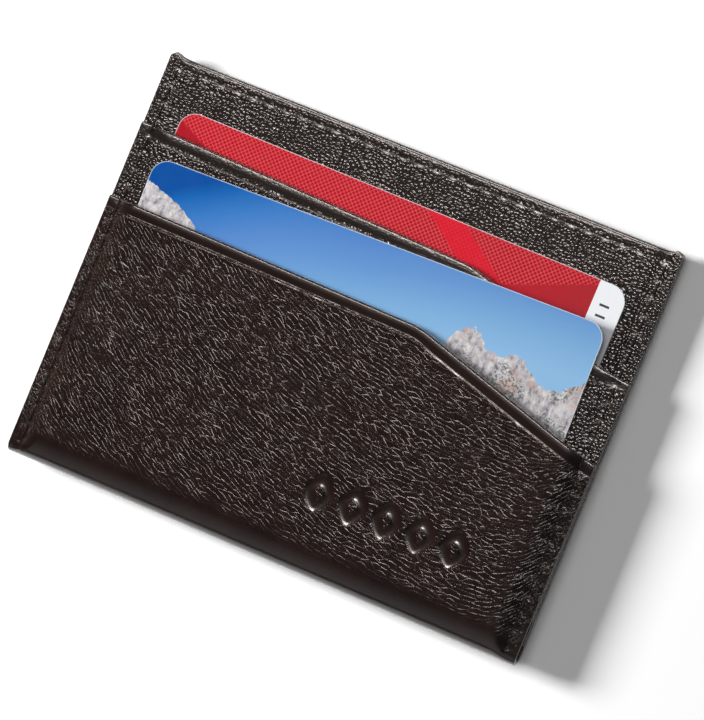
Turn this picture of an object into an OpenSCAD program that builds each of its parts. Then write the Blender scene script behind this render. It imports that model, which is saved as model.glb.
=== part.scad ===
// Slim card wallet with three pocket tiers and two bank-size cards.
// It lies on its back: +Y points out of the pocket mouths, +Z out of the front face.

/* [Outline] */
// Width across the two side seams
wallet_w = 98; // [94:0.5:104]
// Height from the bottom fold to the top edge
wallet_h = 75; // [72:0.5:82]
// Height of the front pocket at the left seam
front_left_h = 48; // [44:0.5:52]
// Height of the front pocket where the slant begins
front_elbow_h = 47; // [43:0.5:51]
// Height of the front pocket where the slant ends
front_end_h = 38; // [34:0.5:42]
// Height of the front pocket at the right seam
front_right_h = 36.5; // [33:0.5:40]
// Height of the middle pocket at the left seam
middle_left_h = 62; // [58:0.5:66]
// Height of the middle pocket where the slant begins
middle_elbow_h = 60; // [57:0.5:64]
// Height of the middle pocket where the slant ends
middle_end_h = 52.2; // [49:0.5:56]
// Height of the middle pocket at the right seam
middle_right_h = 51.4; // [48:0.5:55]
// Start of the front pocket's slant, right of centre
front_elbow_x = 12; // [4:0.5:20]
// Start of the middle pocket's slant, right of centre
middle_elbow_x = 15.6; // [8:0.5:24]
// End of both slants, right of centre
slant_end_x = 43; // [36:0.5:43.5]

/* [Layers] */
// Thickness of the folded outer leather
cover_t = 0.8; // [0.6:0.05:1]
// Thickness of the leather of the inner pocket panels
panel_t = 0.6; // [0.5:0.05:0.8]
// Thickness of the lining cloth
lining_t = 0.2; // [0.15:0.05:0.3]
// Thickness of the padding sheets and of the back stiffener
padding_t = 0.25; // [0.2:0.05:0.4]
// Opening of the empty centre pocket
centre_gap = 0.5; // [0.5:0.05:0.8]
// Play between a card and its pocket, both faces together
card_play = 0.16; // [0.12:0.02:0.3]
// Depth of the turned hem behind each pocket mouth
hem_depth = 6; // [4.5:0.5:8]

/* [Stitching] */
// Distance from a side edge to its stitch row
seam_inset = 2.2; // [2:0.1:2.3]
// Distance from the top edge to the hem rows
hem_inset = 1.9; // [1.5:0.1:2.5]
// Distance between stitch holes along the side seams
stitch_pitch = 3.2; // [3:0.1:4]
// Thickness of the sewing thread
thread_t = 0.5; // [0.4:0.05:0.6]

/* [Cards] */
// Distance of the front card's centre from the bottom fold
front_card_y = 31.1; // [31.1:0.1:33]
// Lean of the front card, anticlockwise
front_card_tilt = 1.2; // [0:0.1:1.2]
// Distance of the middle card's centre from the bottom fold
middle_card_y = 39.4; // [39.4:0.1:41]
// Lean of the middle card, anticlockwise
middle_card_tilt = -0.5; // [-0.5:0.1:0]

/* [Hidden] */

// standard bank card, and where the two cards lie across the wallet
card_w = 85.6;
card_h = 53.98;
card_t = 0.76;
card_r = 3.18;
front_card_x = -0.2;
middle_card_x = -0.15;

half_w = wallet_w / 2;
margin = 3;
mouth_gap = card_t + card_play;

// heights of the layer surfaces over the cards, from the back face forwards
cover_in = cover_t;
back_lining_in = cover_in + padding_t;
back_lining_out = back_lining_in + lining_t;
rear_back = back_lining_out + centre_gap;
rear_mid = rear_back + lining_t;
rear_front = rear_mid + panel_t;
middle_back = rear_front + mouth_gap;
middle_lining_front = middle_back + lining_t;
middle_mid = middle_lining_front + padding_t;
middle_front = middle_mid + panel_t;
front_back = middle_front + mouth_gap;
front_lining_front = front_back + lining_t;
front_mid = front_lining_front + padding_t;
front_face = front_mid + cover_t;

// the same surfaces where the side seams press the stack together;
// back_share is the part of the bulge that lies on the back face
fold_r = cover_t + lining_t + lining_t + panel_t;
back_share = 0.46;
seam_back = (front_face - 2 * fold_r) * back_share;
s_cover_in = seam_back + cover_t;
s_rear_back = s_cover_in + lining_t;
s_rear_mid = s_rear_back + lining_t;
s_rear_front = s_rear_mid + panel_t;
s_middle_mid = s_rear_front + lining_t;
s_middle_front = s_middle_mid + panel_t;
s_front_mid = s_middle_front + lining_t;
s_front_face = s_front_mid + cover_t;
fold_z = seam_back + fold_r;

// where the bulge over the cards begins and ends
seam_x = half_w - 2.7;
back_ramp = 2.6;
front_flat_x = seam_x - 1.5;
panel_flat_x = seam_x - back_ramp;
front_flat_y = fold_r + 1.4;
back_flat_y = fold_r + back_ramp;

// hidden lower ends of the panels
panel_foot_y = 3.6;
floor_foot_y = 8;
floor_wall_y = 11;
floor_lining_y = floor_wall_y + panel_t;
floor_row_y = 9.5;
floor_pitch = 3.5;
floor_count = 25;

// stitch rows
bar_h = 0.18;
bar_w = 0.6;
leg_w = thread_t;
row_x = half_w - seam_inset;
first_stitch_y = 2.6;
side_count = floor((wallet_h - hem_inset - first_stitch_y) / stitch_pitch) + 1;
hem_row_y = wallet_h - hem_inset;
hem_half = half_w - 5;
hem_count = 2 * floor(hem_half / stitch_pitch) + 1;
hem_start_x = -(hem_count - 1) / 2 * stitch_pitch;
groove_d = 0.2;
groove_w = 0.7;

// pressed ornament on the front face
ornament_x = 19.5;
ornament_y = 14.3;
ornament_n = 5;
ornament_pitch = 6.4;
lozenge_w = 4.6;
lozenge_h = 6.6;
groove_line = 1.1;
press_d = 0.2;

// card fittings
chip_x = 15.06 - card_w / 2;
chip_y = card_h / 2 - 23.89;
chip_w = 12.6;
chip_h = 11.4;
chip_t = 0.2;
chip_r = 1.6;
potting = 8;
potting_t = 0.36;
stripe_h = 12.7;
stripe_y = card_h / 2 - 4.6 - stripe_h / 2;
film_t = 0.06;
sign_w = 60;
sign_h = 9;
sign_x = -8;
sign_y = stripe_y - stripe_h / 2 - 3 - sign_h / 2;
front_card_z = middle_front + card_play / 2;
middle_card_z = rear_front + card_play / 2;

// round-off used for every true curve
$fn = 48;

// ---- outlines of the pocket mouths, seen from the front ----
function mouth_line(left_h, elbow_x, elbow_h, end_h, right_h) = [
    [-half_w, left_h], [elbow_x, elbow_h], [slant_end_x, end_h], [half_w, right_h]
];
front_mouth = mouth_line(front_left_h, front_elbow_x, front_elbow_h, front_end_h, front_right_h);
middle_mouth = mouth_line(middle_left_h, middle_elbow_x, middle_elbow_h, middle_end_h, middle_right_h);

module below_mouth(mouth, drop = 0) {
    top = [for (i = [len(mouth) - 1:-1:0]) [mouth[i][0], mouth[i][1] - drop]];
    linear_extrude(front_face + margin)
        polygon(concat([[-half_w, 0], [half_w, 0]], top));
}

// the strip of a panel that is turned in behind its mouth
module hem_zone(mouth) {
    difference() {
        below_mouth(mouth);
        translate([0, 0, -margin])
            linear_extrude(front_face + 3 * margin)
                polygon(concat(
                    [[-half_w - margin, -margin], [half_w + margin, -margin],
                     [half_w + margin, mouth[3][1] - hem_depth]],
                    [for (i = [2:-1:1]) [mouth[i][0], mouth[i][1] - hem_depth]],
                    [[-half_w - margin, mouth[0][1] - hem_depth]]
                ));
    }
}

module slab(y0, y1) {
    translate([-half_w, y0, -margin])
        cube([wallet_w, y1 - y0, front_face + 2 * margin]);
}

module behind_fold() {
    translate([-half_w - margin, -margin, -margin])
        cube([wallet_w + 2 * margin, wallet_h + 2 * margin, fold_z + margin]);
}

module before_fold() {
    translate([-half_w - margin, -margin, fold_z])
        cube([wallet_w + 2 * margin, wallet_h + 2 * margin, front_face]);
}

module along_y(y0, y1) {
    translate([0, y1, 0])
        rotate([90, 0, 0])
            linear_extrude(y1 - y0)
                children();
}

module along_x() {
    translate([-half_w - margin, 0, 0])
        rotate([90, 0, 90])
            linear_extrude(wallet_w + 2 * margin)
                children();
}

// ---- closed shape of the folded stack, cut through at a chosen depth ----
module fold_block(back_m, back_s, front_m, front_s, side) {
    w = half_w + side;
    top = wallet_h + side;
    intersection() {
        along_y(-margin, top)
            polygon([
                [-w, back_s], [-seam_x, back_s], [-panel_flat_x, back_m],
                [panel_flat_x, back_m], [seam_x, back_s], [w, back_s],
                [w, front_s], [seam_x, front_s], [front_flat_x, front_m],
                [-front_flat_x, front_m], [-seam_x, front_s], [-w, front_s]
            ]);
        along_x() {
            translate([fold_r, fold_z])
                circle(r = (front_s - back_s) / 2);
            polygon([
                [fold_r, back_s], [back_flat_y, back_m], [top + margin, back_m],
                [top + margin, front_m], [front_flat_y, front_m], [fold_r, front_s]
            ]);
        }
    }
}

module leather_outside() {
    fold_block(0, seam_back, front_face, s_front_face, 0);
}

module leather_inside() {
    fold_block(cover_in, s_cover_in, front_mid, s_front_mid, 1);
}

module lining_outside() {
    fold_block(back_lining_in, s_cover_in, front_lining_front, s_front_mid, 0);
}

module lining_inside() {
    fold_block(back_lining_out, s_rear_back, front_back, s_middle_front, 1);
}

// space between two sheets of the cover, used by hems and padding
module under_leather() {
    intersection() {
        leather_inside();
        slab(0, wallet_h);
    }
}

// ---- one sheet of a panel: flat over the card, pressed in at the seams ----
module sheet(back_m, front_m, back_s, front_s, y0, y1) {
    along_y(y0, y1)
        polygon([
            [-half_w, back_s], [-seam_x, back_s], [-panel_flat_x, back_m],
            [panel_flat_x, back_m], [seam_x, back_s], [half_w, back_s],
            [half_w, front_s], [seam_x, front_s], [panel_flat_x, front_m],
            [-panel_flat_x, front_m], [-seam_x, front_s], [-half_w, front_s]
        ]);
}

// a padding sheet thins out to nothing before it reaches the seam
module skived_sheet(back_m, front_m, edge_z, y0, y1) {
    along_y(y0, y1)
        polygon([
            [-seam_x, edge_z], [-panel_flat_x, back_m], [panel_flat_x, back_m],
            [seam_x, edge_z], [panel_flat_x, front_m], [-panel_flat_x, front_m]
        ]);
}

// ---- stitching ----
module side_holes() {
    for (side = [-1, 1])
        for (i = [0:side_count - 1])
            translate([side * row_x - leg_w / 2, first_stitch_y + i * stitch_pitch - leg_w / 2, -margin])
                cube([leg_w, leg_w, front_face + 2 * margin]);
}

module hem_holes() {
    for (i = [0:hem_count - 1])
        translate([hem_start_x + i * stitch_pitch - leg_w / 2, hem_row_y - leg_w / 2, -margin])
            cube([leg_w, leg_w, front_face + 2 * margin]);
}

module floor_holes() {
    for (i = [0:floor_count - 1])
        translate([(i - (floor_count - 1) / 2) * floor_pitch - leg_w / 2, floor_row_y - leg_w / 2, -margin])
            cube([leg_w, leg_w, front_face]);
}

// one stitch lying along Y on a surface, its flat side on that surface
module bar(length) {
    rotate([90, 0, 0])
        linear_extrude(length, center = true)
            polygon([
                [-bar_w / 2, 0], [bar_w / 2, 0],
                [bar_w / 4, bar_h], [-bar_w / 4, bar_h]
            ]);
}

// height of the front surface of the seam at one stitch
function seam_top(y, front_h, middle_h) =
    y < front_h ? s_front_face : (y < middle_h ? s_middle_front : s_rear_front);

module seam_thread(side, front_h, middle_h) {
    for (i = [0:side_count - 1]) {
        y = first_stitch_y + i * stitch_pitch;
        z = seam_top(y, front_h, middle_h);
        translate([side * row_x - leg_w / 2, y - leg_w / 2, seam_back])
            cube([leg_w, leg_w, z - seam_back]);
        if (i < side_count - 1) {
            translate([side * row_x, y + stitch_pitch / 2, z])
                bar(stitch_pitch + leg_w);
            translate([side * row_x, y + stitch_pitch / 2, seam_back])
                mirror([0, 0, 1])
                    bar(stitch_pitch + leg_w);
        }
    }
}

// a row across the width, sewn through everything between two heights
module cross_thread(start_x, count, pitch, y, z0, z1) {
    for (i = [0:count - 1]) {
        x = start_x + i * pitch;
        translate([x - leg_w / 2, y - leg_w / 2, z0])
            cube([leg_w, leg_w, z1 - z0]);
        if (i < count - 1)
            for (face = [0, 1])
                translate([x + pitch / 2, y, face == 0 ? z0 : z1])
                    mirror([0, 0, 1 - face])
                        rotate([0, 0, 90])
                            bar(pitch + leg_w);
    }
}

// ---- leather cover ----
module lozenge(w, h) {
    polygon([[-w / 2, 0], [0, -h / 2], [w / 2, 0], [0, h / 2]]);
}

module pressed_ornament() {
    for (i = [0:ornament_n - 1])
        translate([ornament_x + (i - (ornament_n - 1) / 2) * ornament_pitch, ornament_y, front_face - press_d])
            linear_extrude(margin)
                difference() {
                    lozenge(lozenge_w, lozenge_h);
                    lozenge(lozenge_w - 2 * groove_line, lozenge_h - 2 * groove_line * lozenge_h / lozenge_w);
                }
}

// channel that sinks a hem row into the leather, from floor_z forwards
module hem_groove(floor_z, depth) {
    translate([hem_start_x - groove_w, hem_row_y - groove_w / 2, floor_z])
        cube([2 * (groove_w - hem_start_x), groove_w, depth]);
}

// everything in front of the fold plane that lies beyond the front mouth
module above_front_mouth(drop = 0) {
    translate([0, 0, fold_z])
        linear_extrude(front_face)
            polygon(concat(
                [[-half_w - margin, wallet_h + margin], [-half_w - margin, front_mouth[0][1] - drop]],
                [for (p = front_mouth) [p[0], p[1] - drop]],
                [[half_w + margin, front_mouth[3][1] - drop], [half_w + margin, wallet_h + margin]]
            ));
}

module outer_cover() {
    color("#3a2d27")
        difference() {
            union() {
                difference() {
                    leather_outside();
                    leather_inside();
                    above_front_mouth();
                }
                intersection() {
                    difference() {
                        under_leather();
                        lining_inside();
                    }
                    union() {
                        intersection() {
                            before_fold();
                            hem_zone(front_mouth);
                        }
                        intersection() {
                            behind_fold();
                            slab(wallet_h - hem_depth, wallet_h);
                        }
                    }
                }
            }
            side_holes();
            hem_groove(-margin, margin + groove_d);
            intersection() {
                hem_holes();
                behind_fold();
            }
            pressed_ornament();
        }
}

module cover_lining() {
    color("#2b2422")
        difference() {
            lining_outside();
            lining_inside();
            above_front_mouth(hem_depth);
            intersection() {
                slab(wallet_h - hem_depth, wallet_h + margin);
                behind_fold();
            }
            side_holes();
        }
}

module back_stiffener() {
    color("#8d8478")
        intersection() {
            difference() {
                leather_inside();
                fold_block(back_lining_in, s_cover_in, front_mid, s_front_mid, 2);
            }
            slab(back_flat_y, wallet_h - hem_depth);
        }
}

module front_pocket_padding() {
    color("#8d8478")
        difference() {
            intersection() {
                leather_inside();
                before_fold();
                slab(front_flat_y, wallet_h);
            }
            fold_block(back_lining_in, s_cover_in, front_lining_front, s_front_mid, 2);
            above_front_mouth(hem_depth);
        }
}

// ---- middle pocket ----
module middle_pocket_panel() {
    color("#2e2522")
        difference() {
            union() {
                intersection() {
                    sheet(middle_mid, middle_front, s_middle_mid, s_middle_front, floor_wall_y, wallet_h);
                    below_mouth(middle_mouth);
                }
                intersection() {
                    sheet(middle_back, middle_mid, s_rear_front, s_middle_mid, floor_wall_y, wallet_h);
                    hem_zone(middle_mouth);
                }
                sheet(rear_front + lining_t, middle_front, s_middle_mid, s_middle_front, floor_wall_y, floor_lining_y);
                sheet(rear_front + lining_t, rear_front + lining_t + panel_t, s_middle_mid, s_middle_front,
                    floor_foot_y, floor_wall_y);
                seam_tabs(s_middle_mid, s_middle_front);
            }
            side_holes();
            floor_holes();
        }
}

// side strips that keep the seam even below the pocket floor
module seam_tabs(z0, z1) {
    for (side = [-1, 1])
        translate([side * (half_w + seam_x) / 2 - (half_w - seam_x) / 2, panel_foot_y, z0])
            cube([half_w - seam_x, floor_foot_y - panel_foot_y, z1 - z0]);
}

module middle_pocket_lining() {
    color("#2b2422")
        difference() {
            union() {
                intersection() {
                    sheet(middle_back, middle_lining_front, s_rear_front, s_middle_mid, floor_lining_y, wallet_h);
                    below_mouth(middle_mouth, hem_depth);
                }
                sheet(rear_front, middle_lining_front, s_rear_front, s_middle_mid,
                    floor_lining_y, floor_lining_y + lining_t);
                sheet(rear_front, rear_front + lining_t, s_rear_front, s_middle_mid, floor_foot_y, floor_lining_y);
                seam_tabs(s_rear_front, s_middle_mid);
            }
            side_holes();
            floor_holes();
        }
}

module middle_pocket_padding() {
    color("#8d8478")
        intersection() {
            skived_sheet(middle_lining_front, middle_mid, s_middle_mid, floor_lining_y, wallet_h);
            below_mouth(middle_mouth, hem_depth);
        }
}

// ---- full-height rear panel, front wall of the centre pocket ----
module rear_pocket_panel() {
    color("#2e2522")
        difference() {
            union() {
                sheet(rear_mid, rear_front, s_rear_mid, s_rear_front, panel_foot_y, wallet_h);
                sheet(rear_back, rear_mid, s_rear_back, s_rear_mid, wallet_h - hem_depth, wallet_h);
            }
            side_holes();
            hem_holes();
            floor_holes();
            hem_groove(rear_front - groove_d, margin);
        }
}

module rear_pocket_lining() {
    color("#2b2422")
        difference() {
            sheet(rear_back, rear_mid, s_rear_back, s_rear_mid, panel_foot_y, wallet_h - hem_depth);
            side_holes();
            floor_holes();
        }
}

// ---- threads ----
module left_seam_thread() {
    color("#1d1817")
        seam_thread(-1, front_left_h, middle_left_h);
}

module right_seam_thread() {
    color("#1d1817")
        seam_thread(1, front_right_h, middle_right_h);
}

module rear_panel_hem_thread() {
    color("#1d1817")
        cross_thread(hem_start_x, hem_count, stitch_pitch, hem_row_y, rear_back, rear_front - groove_d);
}

module cover_back_hem_thread() {
    color("#1d1817")
        cross_thread(hem_start_x, hem_count, stitch_pitch, hem_row_y, groove_d, back_lining_out);
}

module middle_pocket_floor_thread() {
    color("#1d1817")
        cross_thread(-(floor_count - 1) / 2 * floor_pitch, floor_count, floor_pitch, floor_row_y,
            rear_back, rear_front + lining_t + panel_t);
}

// ---- bank cards ----
module rounded(w, h, r) {
    square([w - 2 * r, h], center = true);
    square([w, h - 2 * r], center = true);
    for (x = [-1, 1])
        for (y = [-1, 1])
            translate([x * (w / 2 - r), y * (h / 2 - r)])
                circle(r = r);
}

module chip_shape() {
    translate([chip_x, chip_y, card_t - chip_t])
        linear_extrude(chip_t)
            rounded(chip_w, chip_h, chip_r);
    translate([chip_x - potting / 2, chip_y - potting / 2, card_t - chip_t - potting_t])
        cube([potting, potting, potting_t]);
}

module stripe_shape() {
    translate([-card_w / 2, stripe_y - stripe_h / 2, 0])
        cube([card_w, stripe_h, film_t]);
}

module sign_shape() {
    translate([sign_x - sign_w / 2, sign_y - sign_h / 2, 0])
        cube([sign_w, sign_h, film_t]);
}

module card_body_shape() {
    difference() {
        linear_extrude(card_t)
            rounded(card_w, card_h, card_r);
        chip_shape();
        stripe_shape();
        sign_shape();
    }
}

module in_front_pocket() {
    translate([front_card_x, front_card_y, front_card_z])
        rotate([0, 0, front_card_tilt])
            children();
}

module in_middle_pocket() {
    translate([middle_card_x, middle_card_y, middle_card_z])
        rotate([0, 0, middle_card_tilt])
            children();
}

module front_card_body() {
    color("#3f86c8")
        in_front_pocket()
            card_body_shape();
}

module front_card_chip() {
    color("#c9a24a")
        in_front_pocket()
            chip_shape();
}

module front_card_magnetic_stripe() {
    color("#17130f")
        in_front_pocket()
            stripe_shape();
}

module front_card_signature_strip() {
    color("#e8e6df")
        in_front_pocket()
            sign_shape();
}

module middle_card_body() {
    color("#d21f35")
        in_middle_pocket()
            card_body_shape();
}

module middle_card_chip() {
    color("#c9a24a")
        in_middle_pocket()
            chip_shape();
}

module middle_card_magnetic_stripe() {
    color("#17130f")
        in_middle_pocket()
            stripe_shape();
}

module middle_card_signature_strip() {
    color("#e8e6df")
        in_middle_pocket()
            sign_shape();
}

// the footprint is centred on the origin
translate([0, -wallet_h / 2, 0]) {
    outer_cover();
    cover_lining();
    back_stiffener();
    front_pocket_padding();
    middle_pocket_panel();
    middle_pocket_lining();
    middle_pocket_padding();
    rear_pocket_panel();
    rear_pocket_lining();
    left_seam_thread();
    right_seam_thread();
    rear_panel_hem_thread();
    cover_back_hem_thread();
    middle_pocket_floor_thread();
    front_card_body();
    front_card_chip();
    front_card_magnetic_stripe();
    front_card_signature_strip();
    middle_card_body();
    middle_card_chip();
    middle_card_magnetic_stripe();
    middle_card_signature_strip();
}
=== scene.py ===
"""Looks of the slim card wallet: leather shells, linings, stitches, printed cards, floor, lights and camera.

Every length in this script is in millimetres until a mesh is made; the frame is in metres.
x runs across the wallet, "up" is the distance from the bottom fold, z comes out of the front face.
"""
from math import cos, pi, radians, sin

import bmesh
import bpy
import numpy as np
from mathutils import Matrix, Vector


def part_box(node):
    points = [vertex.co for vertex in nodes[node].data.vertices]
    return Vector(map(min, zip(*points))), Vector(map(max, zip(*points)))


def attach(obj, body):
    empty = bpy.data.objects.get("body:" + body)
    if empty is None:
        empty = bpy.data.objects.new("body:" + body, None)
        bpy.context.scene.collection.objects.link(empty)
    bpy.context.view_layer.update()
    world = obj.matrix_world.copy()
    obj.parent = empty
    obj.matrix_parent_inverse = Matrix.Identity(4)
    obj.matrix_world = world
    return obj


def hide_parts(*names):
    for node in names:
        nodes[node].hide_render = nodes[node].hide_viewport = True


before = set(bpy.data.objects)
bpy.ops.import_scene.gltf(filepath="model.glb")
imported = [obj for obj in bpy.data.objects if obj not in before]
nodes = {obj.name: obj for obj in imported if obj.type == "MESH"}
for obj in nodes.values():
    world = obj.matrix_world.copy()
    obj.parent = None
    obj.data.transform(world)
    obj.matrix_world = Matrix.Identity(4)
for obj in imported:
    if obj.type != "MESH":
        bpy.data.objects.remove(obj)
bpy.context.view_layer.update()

MM = 0.001

# ---- sizes
cover_low, cover_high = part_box("outer_cover")
HALF_W = cover_high.x / MM
BOTTOM = cover_low.y / MM
HEIGHT = (cover_high.y - cover_low.y) / MM
FRONT_Z = cover_high.z / MM

COVER_T = 0.8
PANEL_T = 0.6
LINING_T = 0.2
PADDING_T = 0.25
CENTRE_GAP = 0.5
CARD_W = 85.6
CARD_H = 53.98
CARD_R = 3.18
CARD_T = 0.76
CARD_PLAY = 0.16
HEM_DEPTH = 6.0
ROLL = 0.42

# inner sheets: shown thickness, play behind the leather, distance from the side edges, start below the mouth
SHOWN_LINING_T = 0.14
SHOWN_BOARD_T = 0.2
CLOTH_PLAY = 0.02
BOARD_PLAY = 0.01
INNER_INSET = 0.15
LINING_DROP = HEM_DEPTH + 0.2
BOARD_DROP = HEM_DEPTH + 0.4

# heights of the layers over the cards, and where the seams press them together
REAR_BACK = COVER_T + PADDING_T + LINING_T + CENTRE_GAP
REAR_FRONT = REAR_BACK + LINING_T + PANEL_T
MIDDLE_BACK = REAR_FRONT + CARD_T + CARD_PLAY
MIDDLE_FRONT = MIDDLE_BACK + LINING_T + PADDING_T + PANEL_T
FRONT_BACK = MIDDLE_FRONT + CARD_T + CARD_PLAY

FOLD_R = COVER_T + 2 * LINING_T + PANEL_T
SEAM_BACK = (FRONT_Z - 2 * FOLD_R) * 0.46
SEAM_REAR_BACK = SEAM_BACK + COVER_T + LINING_T
SEAM_REAR_FRONT = SEAM_REAR_BACK + LINING_T + PANEL_T
SEAM_MIDDLE_FRONT = SEAM_REAR_FRONT + LINING_T + PANEL_T
SEAM_FRONT = SEAM_MIDDLE_FRONT + LINING_T + COVER_T
FOLD_Z = SEAM_BACK + FOLD_R

# pocket mouths as (x, height): left seam, elbow, end of the slant, right seam
FRONT_MOUTH = [(-HALF_W, 48.0), (12.0, 47.0), (43.0, 38.0), (HALF_W, 36.5)]
MIDDLE_MOUTH = [(-HALF_W, 62.0), (15.6, 60.0), (43.0, 52.2), (HALF_W, 51.4)]
TOP_MOUTH = [(-HALF_W, HEIGHT), (HALF_W, HEIGHT)]
REAR_MOUTH = [(-HALF_W, HEIGHT - 0.45), (HALF_W, HEIGHT - 0.45)]

# how far the bulge over the fold reaches, where the face's rows change over, where the back's hem rows begin
FOLD_REACH = 5.0
FOLD_BAND_TOP = 20.0
BACK_HEM_ZONE = 66.0

# hidden lower ends of the panels and inner sheets, measured up from the fold; rows below a mouth that show
MIDDLE_PANEL_FOOT = 8.0
REAR_PANEL_FOOT = 3.6
MIDDLE_LINING_FOOT = 9.0
REAR_LINING_FOOT = 4.0
FRONT_PAD_FOOT = 6.0
MIDDLE_PAD_FOOT = 13.0
STIFFENER_FOOT = 6.5
PANEL_SEEN = 18.0

# the height the middle pocket's lining cloth is cut for, where its slant begins
MIDDLE_POCKET_CUT = MIDDLE_MOUTH[1][1]

# the drawn grain leans across the face, bends with x and turns up beside the right seam
GRAIN_LEAN = -0.32
GRAIN_BEND = 0.0042
GRAIN_TURN = 0.081
TURN_START = HALF_W - 10

# the side ramps between the flat middle and the pressed seams
RAMP_OUT = HALF_W - 2.4
RAMP_IN = HALF_W - 5.5

# stitch rows
ROW_X = HALF_W - 2.2
PITCH = 3.2
FIRST_STITCH = 2.6
HEM_ROW = HEIGHT - 1.9
SIDE_COUNT = int((HEM_ROW - FIRST_STITCH) / PITCH) + 1
HEM_COUNT = 2 * int((HALF_W - 5) / PITCH) + 1
HEM_START = -(HEM_COUNT - 1) / 2 * PITCH
FLOOR_ROW = 9.5
FLOOR_PITCH = 3.5
FLOOR_COUNT = 25

# pressed ornament: a row of outlined lozenges
ORNAMENT_X = 19.5
ORNAMENT_Y = 14.3
ORNAMENT_COUNT = 5
ORNAMENT_PITCH = 6.4
LOZENGE_W = 5.0
LOZENGE_H = 6.4
GROOVE_W = 1.1
PRESS_DEPTH = 0.24

# thread: its radius, how far its ends sink, and the space left at each hole
THREAD_R = 0.2
THREAD_SINK = 0.45
HOLE_SPACE = 0.3

# the table of random heights: how many there are each way, and the place of the wallet's middle in it
NOISE_CELLS = 97
NOISE_SHIFT = 40

# materials: how rough leather is, and how much light a print gives back
LEATHER_ROUGH = 0.265
PRINT_GAIN = 0.90

# the red card's net, slanting band, dark wedges, end strip and bars
DOT_PITCH = 0.62
BAND_START = 42.0
BAND_END = 49.4
BAND_BLUR = 0.4
WEDGE_TOP = 4.9
DIM_TOP = 11.1
WEDGE_BLUR = 0.3
STRIP_W = 5.5
BAR_INSET = 3.2
BAR_PITCH = 1.9
BAR_SHARE = 0.22
BAR_HALF_LENGTH = 0.9
BARS_Y = 20.5
BARS_HALF_HEIGHT = 3.6


# ---- small maths
def smooth(start, end, value):
    """0 before start, 1 after end, with a soft change between."""
    t = np.clip((value - start) / (end - start), 0.0, 1.0)
    return t * t * (3 - 2 * t)


def bell(value, width):
    return np.exp(-(value / width) ** 2)


def soft_noise(x, y, size, seed):
    """Smooth random heights, about -1 to 1, with bumps of the given size."""
    table = np.random.default_rng(seed).uniform(-1, 1, (NOISE_CELLS, NOISE_CELLS))
    u = x / size + NOISE_SHIFT
    v = y / size + NOISE_SHIFT
    i = np.floor(u).astype(int)
    j = np.floor(v).astype(int)
    a = u - i
    b = v - j
    a = a * a * (3 - 2 * a)
    b = b * b * (3 - 2 * b)

    def corner(right, up):
        return table[(i + right) % NOISE_CELLS, (j + up) % NOISE_CELLS]

    low_row = corner(0, 0) * (1 - a) + corner(1, 0) * a
    high_row = corner(0, 1) * (1 - a) + corner(1, 1) * a
    return low_row * (1 - b) + high_row * b


def graded(*spans):
    """Positions along spans of (start, end, step), each span evenly divided."""
    out = [spans[0][0]]
    for start, end, step in spans:
        count = max(1, round(abs(end - start) / step))
        out.extend(start + (end - start) * (i + 1) / count for i in range(count))
    return np.array(out)


def mouth_height(mouth, x):
    """Height of a pocket mouth, with its corners eased over three millimetres."""
    xs = [p[0] for p in mouth]
    ys = [p[1] for p in mouth]
    shifts = np.linspace(-1.6, 1.6, 9)
    height = sum(np.interp(x + s, xs, ys) for s in shifts) / len(shifts)
    return height + (corner_ear(x) if mouth is REAR_MOUTH else 0.0)


def corner_ear(x):
    """The top corners are pulled up a little by the last stitch of each side seam."""
    return 0.9 * bell(HALF_W - 1.1 - np.abs(x), 0.9)


def ramp(x):
    """0 at the pressed side seams, 1 over the cards."""
    return 1 - smooth(RAMP_IN, RAMP_OUT, np.abs(x))


def between(seam, middle, x):
    return seam + (middle - seam) * ramp(x)


def cover_ramp(x):
    """The cover is stiffer than the panels, so it comes down to the seams more gently."""
    return 1 - smooth(RAMP_IN, HALF_W - 0.9, np.abs(x))


# ---- surface relief
def along_grain(x):
    """How far the drawn grain has climbed at x: its slope is the tangent of the grain's direction."""
    turn = np.maximum(0, x - TURN_START)
    return GRAIN_LEAN * x + GRAIN_BEND * x ** 2 + GRAIN_TURN * turn ** 2


def wrinkles(x, up, seed, strength):
    """Shallow creases drawn along the grain of the hide."""
    across = up - along_grain(x)
    fine = soft_noise(x, across * 2.6, 2.8, seed)
    broad = soft_noise(x, across * 1.6, 7.0, seed + 1)
    return strength * (0.5 * fine + broad)


def seam_channel(x, up):
    """The side seams sink along their stitches, deepest at each hole."""
    off = np.abs(x) - ROW_X
    place = (up - FIRST_STITCH) / PITCH
    hole = np.abs(place - np.round(place)) * PITCH
    inside = (up > FIRST_STITCH - 1) & (up < HEM_ROW + 1)
    line = bell(off, 0.65) * (0.07 + 0.18 * bell(hole, 0.6))
    pull = 0.10 * bell(off + 1.3, 1.7) * bell(hole, 0.8)
    return -(line + pull) * inside


def hem_row_channel(x, up):
    """The row of stitches under the top edge."""
    place = (x - HEM_START) / PITCH
    off = up - HEM_ROW + 0.14 * np.cos(2 * pi * place)
    hole = np.abs(place - np.round(place)) * PITCH
    inside = np.abs(x) < -HEM_START + 1
    line = bell(off, 0.45) * (0.035 + 0.11 * bell(hole, 0.8))
    puff = 0.05 * (bell(off - 0.8, 0.5) + bell(off + 0.8, 0.5)) * (1 - bell(hole, 1.0))
    return (puff - line) * inside


def on_slant(x):
    """0 where the mouths run level, 1 where they slant: there the hem ends in a smooth line."""
    return smooth(11, 16, x)


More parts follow.
